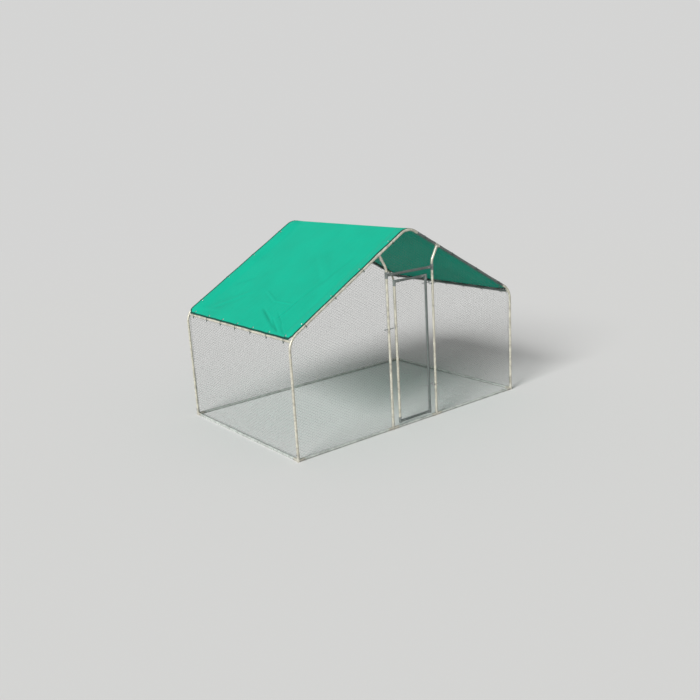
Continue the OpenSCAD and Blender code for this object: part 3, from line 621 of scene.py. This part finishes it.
CREASE_GABLE_END = 0.06
SHARP_UP = (0.03, 0.60)
SHARP_Y = (-0.88, 0.18)
SHARP_CUTS = 2
FOLD_SHADE_DEPTH = 0.006
PUNCH_R = 0.0054
PUNCH_LENGTH = 0.02
PUNCH_SIDES = 16
WAVE_LENGTH = 0.314
STREAK_STRETCH = (2.0, 55.0, 1.0)
STREAK_TONES = (grey(0.97), grey(1.02))
WEAVE_TONES = (grey(0.93), grey(1.05))
# Painted shade along the crease valleys.
FOLD_PAINTED_SHADE_TONES = (grey(0.76), grey(1.0))
WEAVE_STRENGTH = 0.25
WEAVE_DEPTH = 0.0005
CLOTH_SPECULAR = 0.08
COVER_TAPE = 0.0025


def clamped(value):
    return min(1.0, max(0.0, value))


def eased(value):
    value = clamped(value)
    return value * value * (3 - 2 * value)


def pulled_in(place, ties):
    """How far a hem has drawn in at a place between two ties."""
    for first, last in zip(ties, ties[1:]):
        if first <= place <= last:
            return SCALLOP * math.sin(math.pi * (place - first) / (last - first)) ** 2
    return 0.0


def crease(up, y, lines):
    """The depth of the creases at a place, each a soft valley along a line that fades at its ends."""
    depth = 0.0
    for (up_a, y_a), (up_b, y_b), width, deep in lines:
        along = Vector((up_b - up_a, y_b - y_a))
        from_a = Vector((up - up_a, y - y_a))
        share = from_a.dot(along) / along.length_squared
        across = abs(from_a.cross(along)) / along.length
        fade = eased(CREASE_FADE * share) * eased(CREASE_FADE * (1 - share))
        valley = math.exp(-(across / width) ** 2)
        shoulder = math.exp(-(across / width / SHOULDER_WIDTH) ** 2)
        depth += deep * fade * (valley - CREASE_SHOULDER * shoulder)
    return depth


def fold_depth(x, y):
    """How deep the creases are at a point of the flat sheet; they run out towards its hems."""
    hems = eased((COVER_X - abs(x)) / CREASE_EAVE_END) * eased((COVER_Y - abs(y)) / CREASE_GABLE_END)
    return hems * crease(COVER_X - abs(x) + COVER_EDGE, y, CREASES[1 if x > 0 else -1])


def above_rails(away):
    """How far the top of a rafter stands above the line of the rails, at a distance along it from a rail."""
    away = min(away, BEND_R * math.sin(PITCH))
    reach, outer = BEND_R * math.cos(PITCH), BEND_R + COVER_MID
    inside = away ** 2 - 2 * BEND_R * math.sin(PITCH) * away + BEND_R ** 2 - outer ** 2
    return math.sqrt(reach ** 2 - inside) - reach - COVER_MID


def ripples(x, y, side):
    broad = Vector((x * RIPPLE_SCALE[0], y * RIPPLE_SCALE[1], side))
    fine = Vector((x * WRINKLE_SCALE[0], y * WRINKLE_SCALE[1], WRINKLE_SEED))
    return noise.noise(broad) * RIPPLE + noise.noise(fine) * WRINKLE


def lie_of_sheet(x, y):
    """Where a point of the flat sheet lies, and the way its upper face looks there."""
    side = 1 if x > 0 else -1
    down = abs(x) - FOLD_LENGTH
    up = COVER_X - abs(x) + COVER_EDGE
    eave_hem, gable_hem = COVER_X - abs(x), COVER_Y - abs(y)
    x_in = pulled_in(y, EAVE_TIES) * eased(1 - eave_hem / SCALLOP_REACH)
    y_in = pulled_in(up, GABLE_TIES) * eased(1 - gable_hem / SCALLOP_REACH)
    turn = min(abs(x) / COVER_MID, PITCH)
    facing = Vector((side * math.sin(turn), 0, math.cos(turn)))
    place = Vector((0, y, RIDGE_RAIL_Z)) + COVER_MID * facing
    place += max(0.0, down - x_in) * Vector((side * math.cos(PITCH), 0, -math.sin(PITCH)))
    place.y -= math.copysign(y_in, y)
    free = eased(eave_hem / HEM_STILL) * eased(gable_hem / HEM_STILL) * eased(down / RIDGE_STILL)
    belly = math.sin(math.pi * clamped(down / COVER_SLOPE)) * math.cos(math.pi * y / BELLY_SPREAD / COVER_Y)
    ride = eased((abs(y) - POST_Y + RIDE_UP_FROM) / (RIDE_UP_FROM - RIDE_UP_TO))
    lift = above_rails(min(max(0.0, down), up))
    if y < 0:
        lift += TEE_RISE * eased(TEE_BREADTH - abs(up - TEE_UP) / TEE_REACH)
    dip = free * (SAG * belly - ripples(x, y, side)) - ride * lift
    return place - (dip + fold_depth(x, y)) * facing, facing


def is_creased(x, y):
    """Whether a point of the flat sheet is where the sharp creases are."""
    return SHARP_UP[0] < x + COVER_X < SHARP_UP[1] and SHARP_Y[0] < y < SHARP_Y[1]


def flat_sheet():
    """The flat sheet with its corners cut off and a row of edges along each turn of the ridge fold."""
    mesh = bmesh.new()
    bmesh.ops.create_grid(mesh, x_segments=SHEET_COLUMNS, y_segments=SHEET_ROWS, size=1.0)
    bmesh.ops.scale(mesh, vec=(COVER_X, COVER_Y, 1), verts=mesh.verts)
    creased = [e for e in mesh.edges if all(is_creased(*v.co.xy) for v in e.verts)]
    bmesh.ops.subdivide_edges(mesh, edges=creased, cuts=SHARP_CUTS, use_grid_fill=True)
    bmesh.ops.triangulate(mesh, faces=[f for f in mesh.faces if len(f.verts) > 4])
    for share in FOLD_LINES:
        split(mesh, (share * FOLD_LENGTH, 0, 0), (1, 0, 0))
    for side in (-1, 1):
        for end in (-1, 1):
            split(mesh, (side * (COVER_X - CORNER_CUT), end * COVER_Y, 0), (side, end, 0), True)
    return mesh


def laid_out(mesh):
    """Lays the sheet down, and keeps each point's flat place and the painted shade of its folds as UVs."""
    flat_map = mesh.loops.layers.uv.new("flat")
    fold_map = mesh.loops.layers.uv.new("fold")
    for vert in mesh.verts:
        x, y = vert.co.xy
        # The painted shade of the creases, darkest in their valleys.
        shade = clamped(1 - fold_depth(x, y) / FOLD_SHADE_DEPTH)
        for loop in vert.link_loops:
            loop[flat_map].uv = (x, y)
            loop[fold_map].uv = (shade, 0.0)
        vert.co, _ = lie_of_sheet(x, y)


def thickened(name, mesh, thickness, materials=()):
    """A sheet with its thickness on both sides of the middle, and a material for each face of it."""
    piece = in_scene(name, as_mesh(name, mesh))
    for material in materials:
        piece.data.materials.append(material)
    cloth = piece.modifiers.new("thickness", "SOLIDIFY")
    cloth.thickness = thickness
    cloth.offset = 0.0
    cloth.material_offset = max(0, len(materials) - 1)
    return piece


def eyelet_place(side, up, y):
    """The middle of an eyelet that is a way up from an eave rail, and the way its upper face looks."""
    return lie_of_sheet(side * (COVER_X + COVER_EDGE - up), y)


def gable_eyelet(side, up, end):
    return eyelet_place(side, up, end * (POST_Y - GABLE_EYELET))


def eyelet_places():
    for side in (-1, 1):
        for y in EAVE_TIES:
            yield eyelet_place(side, EAVE_EYELET, y)
        for up in GABLE_TIES:
            for end in (-1, 1):
                yield gable_eyelet(side, up, end)


def punches():
    """Rods through every eyelet, to punch the sheet with."""
    mesh = bmesh.new()
    for place, facing in eyelet_places():
        made = bmesh.ops.create_cone(
            mesh, cap_ends=True, segments=PUNCH_SIDES, radius1=PUNCH_R, radius2=PUNCH_R,
            depth=PUNCH_LENGTH)["verts"]
        bmesh.ops.rotate(mesh, verts=made, matrix=Vector((0, 0, 1)).rotation_difference(facing).to_matrix())
        bmesh.ops.translate(mesh, verts=made, vec=place)
    return in_scene("punches", as_mesh("punches", mesh))


def woven_cloth(name, colour, shade, tape, roughness):
    """Woven tape coated on both faces: a fine plain weave, faint streaks along the tapes and painted shade in
    the folds.
    """
    made, tree, shader = new_material(name)
    flat_map = add_node(tree, "ShaderNodeUVMap", {"uv_map": "flat"}).outputs["UV"]
    weave = add_node(tree, "ShaderNodeMath", {"operation": "MULTIPLY"})
    for direction, socket in zip("XY", weave.inputs):
        tapes = add_node(tree, "ShaderNodeTexWave", {"bands_direction": direction}, Vector=flat_map,
                         Scale=WAVE_LENGTH / tape)
        tree.links.new(tapes.outputs["Fac"], socket)
    fold = add_node(tree, "ShaderNodeUVMap", {"uv_map": "fold"}).outputs["UV"]
    valley = add_node(tree, "ShaderNodeSeparateXYZ", Vector=fold).outputs["X"]
    long_way = add_node(tree, "ShaderNodeMapping", Vector=flat_map, Scale=STREAK_STRETCH).outputs["Vector"]
    streak = add_node(tree, "ShaderNodeTexNoise", Vector=long_way, Scale=1.0, Detail=3.0)
    cloud = add_node(tree, "ShaderNodeTexNoise", Vector=flat_map, Scale=2.6, Detail=5.0, Roughness=0.6)
    tone = ramp(tree, cloud.outputs["Fac"], shade, colour, 0.34, 0.60)
    lined = ramp(tree, streak.outputs["Fac"], *STREAK_TONES, 0.35, 0.65)
    checked = ramp(tree, weave.outputs["Value"], *WEAVE_TONES)
    # Painted shade: the colour darkens along the crease valleys.
    fold_painted_shade = ramp(tree, valley, *FOLD_PAINTED_SHADE_TONES)
    cloth = multiplied(tree, multiplied(tree, tone, lined), checked)
    tree.links.new(multiplied(tree, cloth, fold_painted_shade), shader.inputs["Base Color"])
    tree.links.new(spread(tree, cloud.outputs["Fac"], *roughness), shader.inputs["Roughness"])
    bump(tree, shader, weave.outputs["Value"], WEAVE_STRENGTH, WEAVE_DEPTH)
    shader.inputs["Specular IOR Level"].default_value = CLOTH_SPECULAR
    return made


cover_cloth = woven_cloth(
    "cover_cloth", colour=(0.0058, 0.417, 0.269), shade=(0.0050, 0.387, 0.249), tape=COVER_TAPE,
    roughness=(0.50, 0.65))
# The underside is coloured darker than the upper face, as painted shade.
underside_cloth_painted_shade = woven_cloth(
    "cover_underside_painted_shade", colour=(0.004, 0.350, 0.238), shade=(0.004, 0.320, 0.217), tape=COVER_TAPE,
    roughness=(0.60, 0.75))
sheet_mesh = flat_sheet()
laid_out(sheet_mesh)
sheet_body = thickened("sheet_body", sheet_mesh, SHEET_T, (cover_cloth, underside_cloth_painted_shade))
punch = punches()
holes = sheet_body.modifiers.new("eyelet_holes", "BOOLEAN")
holes.operation = "DIFFERENCE"
holes.solver = "EXACT"
holes.object = punch
punched = add_data(bmesh.new(), evaluated(sheet_body))
bpy.data.objects.remove(punch)
cover = finished("cover_sheet", punched, cover_cloth, "frame")
cover.data.materials.append(underside_cloth_painted_shade)
cover.data.shade_smooth()
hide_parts("roof_cover")


# Edge binding
# A strip of very dark cloth, painted shade for the shadow line along the sheet's edge, folded over the raw
# edge of the sheet and sewn down with one row of stitches. It is cut a little wider than the sheet, so that
# the raw edge stays inside the fold.
BINDING_W = 0.021
BINDING_T = 0.0014
BINDING_OVER = 0.0008
STITCH_IN = 0.003
STITCH_LENGTH = 0.0034
STITCH_PITCH = 0.005
THREAD_R = 0.0003
LAY_DISTORTION = 1.5
LAY_TONES = (grey(0.82), grey(1.0))
LAY_STRENGTH = 0.5
LAY_DEPTH = 0.0004
SOIL_SCALE = 60.0
CORD_ROUGHNESS = 0.85

# Very dark, as painted shade along the edge of the sheet.
binding_cloth_painted_shade = woven_cloth(
    "binding_cloth_painted_shade", colour=(0.010, 0.078, 0.058), shade=(0.007, 0.055, 0.041), tape=0.0016,
    roughness=(0.6, 0.75))
strip = flat_sheet()
inner_x, inner_y = COVER_X - BINDING_W, COVER_Y - BINDING_W
inner_cut = CORNER_CUT + BINDING_W * (math.sqrt(2) - 1)
for side in (-1, 1):
    split(strip, (side * inner_x, 0, 0), (side, 0, 0))
    split(strip, (0, side * inner_y, 0), (0, side, 0))
    for end in (-1, 1):
        split(strip, (side * (COVER_X - inner_cut), end * inner_y, 0), (side, end, 0))


def in_the_field(face):
    """Whether a face of the flat sheet is inside the binding."""
    middle = face.calc_center_median()
    blunt = COVER_X + COVER_Y - CORNER_CUT - BINDING_W * math.sqrt(2)
    return abs(middle.x) < inner_x and abs(middle.y) < inner_y and abs(middle.x) + abs(middle.y) < blunt


bmesh.ops.delete(strip, geom=[f for f in strip.faces if in_the_field(f)], context="FACES")
bmesh.ops.scale(
    strip, vec=(1 + BINDING_OVER / COVER_X, 1 + BINDING_OVER / COVER_Y, 1), verts=strip.verts)
laid_out(strip)
folded_strip = add_data(bmesh.new(), evaluated(thickened("binding_strip", strip, BINDING_T)))
binding = finished("cover_binding", folded_strip, binding_cloth_painted_shade, "frame")


def stitch_line():
    """The corners of the row of stitches on the flat sheet, just outside the binding's inner edge."""
    x, y = inner_x + STITCH_IN, inner_y + STITCH_IN
    cut = x + y - COVER_X - COVER_Y + CORNER_CUT + (BINDING_W - STITCH_IN) * math.sqrt(2)
    half = [(x, cut - y), (x, y - cut), (x - cut, y), (cut - x, y)]
    return half + [(-a, -b) for a, b in half]


def on_binding(point):
    """Where a thread lies, half sunk into the binding over a point of the flat sheet."""
    place, facing = lie_of_sheet(*point)
    return place + (BINDING_T / 2 + THREAD_R / 2) * facing


def stitches():
    """Each stitch of the row, as a short straight run of thread."""
    corners = [Vector(corner) for corner in stitch_line()]
    for a, b in zip(corners, corners[1:] + corners[:1]):
        along = (b - a).normalized()
        for i in range(int((b - a).length / STITCH_PITCH)):
            start = a + along * STITCH_PITCH * i
            yield [on_binding(start), on_binding(start + along * STITCH_LENGTH)], False


def spun_cord(name, colour, shade, strand):
    """Cord or thread of strands of a width, laid round each other, and a little soiled."""
    made, tree, shader = new_material(name)
    place = add_node(tree, "ShaderNodeTexCoord").outputs["Object"]
    lay = add_node(tree, "ShaderNodeTexWave", {"bands_direction": "DIAGONAL"}, Vector=place,
                   Scale=WAVE_LENGTH / strand, Distortion=LAY_DISTORTION).outputs["Fac"]
    soil = add_node(tree, "ShaderNodeTexNoise", Vector=place, Scale=SOIL_SCALE, Detail=3.0)
    tone = ramp(tree, soil.outputs["Fac"], shade, colour, 0.35, 0.6)
    lined = ramp(tree, lay, *LAY_TONES)
    tree.links.new(multiplied(tree, tone, lined), shader.inputs["Base Color"])
    bump(tree, shader, lay, LAY_STRENGTH, LAY_DEPTH)
    shader.inputs["Roughness"].default_value = CORD_ROUGHNESS
    return made


thread = spun_cord("binding_thread", colour=(0.030, 0.150, 0.110), shade=(0.020, 0.110, 0.080), strand=0.0003)
sewn = add_data(bmesh.new(), wires("thread", stitches(), THREAD_R, WIRE_ROUNDNESS))
seam = finished("binding_stitches", sewn, thread, "frame")


# Eyelets
# Pressed aluminium rings through the sheet beside its binding, one at every tie, with the bead of the upper
# half rolled over the lower.
EYELET_PROFILE = [
    (0.0045, -0.0012), (0.0045, 0.0010), (0.0050, 0.0016), (0.0060, 0.0018), (0.0075, 0.0014),
    (0.0090, 0.0005), (0.0090, -0.0005), (0.0074, -0.0012), (0.0055, -0.0014),
]
EYELET_STEPS = 24

eyelet_metal = zinc(
    "eyelet_metal", dark=(0.56, 0.56, 0.55), pale=(0.70, 0.70, 0.69), spangle=0.003,
    weathering=0.85, metallic=0.9, roughness=(0.22, 0.34))
ring = bmesh.new()
profile = [ring.verts.new((r, 0, z)) for r, z in EYELET_PROFILE]
edges = [ring.edges.new(pair) for pair in zip(profile, profile[1:] + profile[:1])]
bmesh.ops.spin(
    ring, geom=profile + edges, cent=(0, 0, 0), axis=(0, 0, 1), angle=2 * math.pi, steps=EYELET_STEPS,
    use_merge=True)
ring_data = bpy.data.meshes.new("eyelet_ring")
rings = bmesh.new()
for place, facing in eyelet_places():
    lean = Vector((0, 0, 1)).rotation_difference(facing).to_matrix().to_4x4()
    ring.to_mesh(ring_data)
    ring_data.transform(Matrix.Translation(place) @ lean)
    rings.from_mesh(ring_data)
ring.free()
bpy.data.meshes.remove(ring_data)
bmesh.ops.recalc_face_normals(rings, faces=rings.faces[:])
eyelets = finished("eyelet_rings", rings, eyelet_metal, "frame")
eyelets.data.shade_smooth()
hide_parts("cover_eyelets")


# Ties
# Soft dark green cord of 3 mm, passed through each eyelet, round the tube beside it, and knotted on the
# outside with two short ends left hanging.
CORD_R = 0.0015
CORD_ROUNDNESS = 2
CORD_TURN_R = 0.005
CORD_STEPS = 12
TIE_R = 0.0160
RAFTER_RISE = 0.0241
KNOT_SIZE = 0.0021
KNOT_TURN = 200
KNOT_STRAY = 12
KNOT_OFF = 1.6
KNOT_STEPS = 36
TAIL_LENGTH = 0.015
TAIL_STRAY = 0.4
TAIL_SPLAY = 0.3
SPLAY_STRAY = 0.5
TAIL_OUT = 0.35
TAIL_STEPS = 8


def stray(seed, *places):
    """A number from -1 to 1 that is always the same for a tie."""
    return noise.noise(Vector((seed, *places)))


def knot(middle, along, across, radial):
    """A closed run of cord tied into a trefoil."""
    points = []
    for i in range(KNOT_STEPS):
        t = 2 * math.pi * i / KNOT_STEPS
        points.append(middle + KNOT_SIZE * (
            (math.sin(t) + 2 * math.sin(2 * t)) * along + (math.cos(t) - 2 * math.cos(2 * t)) * across
            - math.sin(3 * t) * radial))
    return points


def tail(start, along, radial, way, seed):
    """An end of cord that leaves its knot sideways and hangs down."""
    splay = TAIL_SPLAY + SPLAY_STRAY * abs(stray(seed * 3.1, way, 2))
    length = TAIL_LENGTH * (1 + TAIL_STRAY * stray(seed * 2.3, way, 9))
    points = []
    for i in range(TAIL_STEPS + 1):
        t = i / TAIL_STEPS
        hang = Vector((0, 0, -1)) * length * t * t
        outward = radial * length * TAIL_OUT * t * (1 - 0.5 * t)
        points.append(start + along * way * length * splay * t + outward + hang)
    return points


def cord_runs(centre, out, off, eyelet, seed):
    """One tie in the plane of out and off: its loop, its knot beyond the tube, and its two ends."""
    second = ((eyelet - centre).dot(out) - CORD_TURN_R, (eyelet - centre).dot(off))
    loop = [centre + out * a + off * b for a, b in belt(TIE_R, second, CORD_TURN_R, CORD_STEPS)]
    along = out.cross(off)
    turn = math.radians(KNOT_TURN + KNOT_STRAY * stray(seed * 1.7, 3, 5))
    radial = out * math.cos(turn) + off * math.sin(turn)
    middle = centre + radial * (TIE_R + KNOT_OFF * KNOT_SIZE)
    ends = [(tail(middle, along, radial, way, seed), False) for way in (-1, 1)]
    return [(loop, True), (knot(middle, along, along.cross(radial), radial), True)] + ends


tie_cord = spun_cord("tie_cord", colour=(0.045, 0.090, 0.075), shade=(0.030, 0.060, 0.050), strand=0.0015)
runs = []
for side in (-1, 1):
    foot = Vector((side * EAVE_RAIL[0], 0, EAVE_RAIL[1]))
    along = Vector((-side * math.cos(PITCH), 0, math.sin(PITCH)))
    off = Vector((side * math.sin(PITCH), 0, math.cos(PITCH)))
    for y in EAVE_TIES:
        eyelet, _ = eyelet_place(side, EAVE_EYELET, y)
        runs += cord_runs(foot + Vector((0, y, 0)), along, off, eyelet, y + side)
    for up in GABLE_TIES:
        for end in (-1, 1):
            eyelet, _ = gable_eyelet(side, up, end)
            centre = foot + along * up + off * RAFTER_RISE + Vector((0, end * POST_Y, 0))
            runs += cord_runs(centre, Vector((0, -end, 0)), off, eyelet, up + end + 3 * side)
tied = add_data(bmesh.new(), wires("cord", runs, CORD_R, CORD_ROUNDNESS))
ties = finished("tie_cords", tied, tie_cord, "frame")
ties.data.shade_smooth()
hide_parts("cover_ties")


# Studio
# A plain pale floor that runs into a background of the same tone, one broad soft sun from the left, and an
# even light all round.
FLOOR_R = 60.0
FLOOR_SIDES = 96
FLOOR_NEAR = 6.0
FLOOR_FAR = 22.0
FLOOR_COLOUR = (0.74, 0.74, 0.73)
FLOOR_ROUGHNESS = 0.9
FLOOR_SPECULAR = 0.1
BACKDROP = (0.66, 0.66, 0.655)
EVEN_LIGHT = 0.46
SUN_STRENGTH = 3.58
SUN_SPREAD = 24
SUN_FROM = (-0.83, -0.24, 0.52)

disc = bmesh.new()
bmesh.ops.create_circle(disc, cap_ends=True, segments=FLOOR_SIDES, radius=FLOOR_R)
floor = in_scene("floor", as_mesh("floor", disc))
floor_paint, tree, shader = new_material("floor_paint")
shader.inputs["Base Color"].default_value = (*FLOOR_COLOUR, 1.0)
shader.inputs["Roughness"].default_value = FLOOR_ROUGHNESS
shader.inputs["Specular IOR Level"].default_value = FLOOR_SPECULAR
place = add_node(tree, "ShaderNodeTexCoord").outputs["Object"]
reach = add_node(tree, "ShaderNodeVectorMath", {"operation": "LENGTH"})
tree.links.new(place, reach.inputs[0])
fade = add_node(
    tree, "ShaderNodeMapRange", {"interpolation_type": "SMOOTHSTEP"}, Value=reach.outputs["Value"],
    From_Min=FLOOR_NEAR, From_Max=FLOOR_FAR)
glow = add_node(tree, "ShaderNodeEmission", Color=(*BACKDROP, 1.0), Strength=1.0)
mixed = add_node(tree, "ShaderNodeMixShader")
tree.links.new(fade.outputs["Result"], mixed.inputs[0])
tree.links.new(shader.outputs["BSDF"], mixed.inputs[1])
tree.links.new(glow.outputs["Emission"], mixed.inputs[2])
tree.links.new(mixed.outputs["Shader"], tree.nodes["Material Output"].inputs["Surface"])
floor.data.materials.append(floor_paint)
floor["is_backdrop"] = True

world = bpy.data.worlds.new("studio")
scene.world = world
world.use_nodes = True
tree = world.node_tree
path = add_node(tree, "ShaderNodeLightPath").outputs
seen = path["Is Camera Ray"]
for kind in ("Is Glossy Ray", "Is Transmission Ray"):
    either = add_node(tree, "ShaderNodeMath", {"operation": "MAXIMUM"})
    tree.links.new(seen, either.inputs[0])
    tree.links.new(path[kind], either.inputs[1])
    seen = either.outputs["Value"]
backdrop = tree.nodes["Background"]
backdrop.inputs["Color"].default_value = (*BACKDROP, 1.0)
tree.links.new(spread(tree, seen, EVEN_LIGHT, 1.0), backdrop.inputs["Strength"])

sun = bpy.data.lights.new("sun", "SUN")
sun.energy = SUN_STRENGTH
sun.angle = math.radians(SUN_SPREAD)
sun_lamp = in_scene("sun", sun)
sun_lamp.matrix_world = Vector(SUN_FROM).to_track_quat("Z", "Y").to_matrix().to_4x4()


boxes = {"cad": cad_box, "visual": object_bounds()}
{key: [list(corner) for corner in box] for key, box in boxes.items()}
